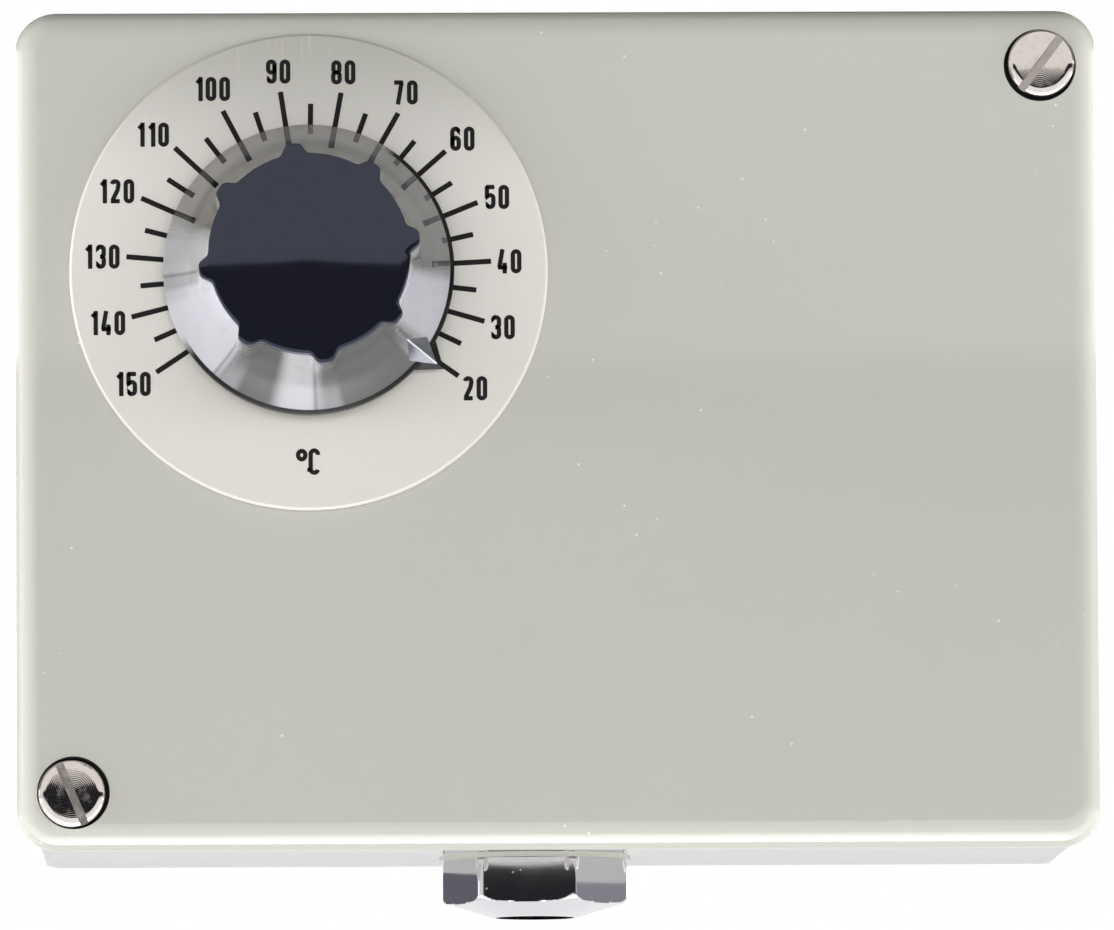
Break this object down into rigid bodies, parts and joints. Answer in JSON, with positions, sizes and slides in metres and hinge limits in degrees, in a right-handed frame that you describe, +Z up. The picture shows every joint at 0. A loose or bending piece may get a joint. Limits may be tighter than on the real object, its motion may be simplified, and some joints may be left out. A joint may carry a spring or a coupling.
{
  "type": "immersion thermostat",
  "caption": "Cast case with a printed dial and clear setting knob, screwed pocket with a sensor bulb behind, cable gland below and a snap switch inside.",
  "frame": {"origin": "on the pocket's axis at the rear face of its sealing washer, where it meets the pipe boss", "axes": "+Z up, the dial faces -Y, +Y along the pocket towards its tip, +X to the right seen from the front"},
  "size_m": [0.13, 0.1975, 0.108],
  "materials": {
    "painted_casting": "fine satin paint on a light-alloy casting",
    "dial_enamel": "semi-matt ivory enamel with black print",
    "clear_plastic": "polished clear moulding",
    "cap_plastic": "glossy dark blue black",
    "bright_plate": "polished nickel plating",
    "black_rubber": "smooth black rubber",
    "nickel_plate": "nickel plating, turned heads",
    "zinc_steel": "zinc-plated steel",
    "spring_steel": "oiled spring steel",
    "brass": "machined brass",
    "bronze": "rolled bronze sheet",
    "copper": "drawn copper",
    "switch_plastic": "matt black moulding",
    "plunger_plastic": "red moulding",
    "block_plastic": "cream moulding",
    "lead_insulation": "blue wire insulation"
  },
  "bodies": {
    "case": {"base_housing": "painted_casting", "front_cover": "painted_casting", "dial_plate": "dial_enamel", "gland_nut": "bright_plate", "cover_gasket": "black_rubber", "screw_seals": "black_rubber", "spindle_seal": "black_rubber", "gland_seal": "black_rubber", "retaining_plug": "black_rubber", "cover_screws": "nickel_plate", "mechanism_frame": "zinc_steel", "bridge_plate": "zinc_steel", "frame_screws": "zinc_steel", "bridge_screws": "zinc_steel", "block_screws": "zinc_steel", "terminal_screws": "zinc_steel", "switch_screws": "zinc_steel", "capsule_nut": "zinc_steel", "lock_washer": "zinc_steel", "gland_washer": "zinc_steel", "lever_pin": "zinc_steel", "spindle_bush": "brass", "immersion_pocket": "brass", "pocket_nut": "brass", "terminal_clamps": "brass", "switch_terminals": "brass", "earth_screw": "brass", "earth_washer": "brass", "capsule_body": "bronze", "diaphragm": "bronze", "capillary": "copper", "sensor_bulb": "copper", "sealing_washer": "copper", "switch_body": "switch_plastic", "terminal_block": "block_plastic", "switch_leads": "lead_insulation"},
    "setting": {"spindle": "zinc_steel", "spindle_clip": "spring_steel", "knob_body": "clear_plastic", "knob_insert": "brass", "knob_cap": "cap_plastic", "knob_screw": "zinc_steel"},
    "range_nut": {"range_nut": "brass", "range_spring": "spring_steel"},
    "lever": {"lever": "zinc_steel", "contact_screw": "brass", "contact_nut": "zinc_steel"},
    "thrust_pin": {"thrust_pin": "zinc_steel"},
    "switch_plunger": {"switch_plunger": "plunger_plastic"}
  },
  "joints": [
    {"name": "setting_turn", "type": "hinge", "parent": "case", "child": "setting", "pos_m": [-0.0298, 0, 0.0388], "axis": [0, -1, 0], "range_deg": [0, 250]},
    {"name": "range_nut_slide", "type": "slide", "parent": "case", "child": "range_nut", "axis": [0, 1, 0], "range_m": [0, 0.0021], "deforming": ["range_spring"]},
    {"name": "lever_tilt", "type": "hinge", "parent": "case", "child": "lever", "pos_m": [-0.0553, -0.0314, 0.0388], "axis": [0, 0, -1], "range_deg": [0, 1.15], "stiffness_Nm_per_rad": 2},
    {"name": "thrust_pin_slide", "type": "slide", "parent": "case", "child": "thrust_pin", "axis": [0, -1, 0], "range_m": [0, 0.0006]},
    {"name": "plunger_slide", "type": "slide", "parent": "case", "child": "switch_plunger", "axis": [0, -1, 0], "range_m": [0, 0.0012]}
  ],
  "couplings": [
    {"joint": "range_nut_slide", "follows": "setting_turn", "m_per_rad": 0.00047746},
    {"joint": "thrust_pin_slide", "follows": "lever_tilt", "m_per_rad": 0.0255},
    {"joint": "plunger_slide", "follows": "lever_tilt", "m_per_rad": 0.055}
  ]
}
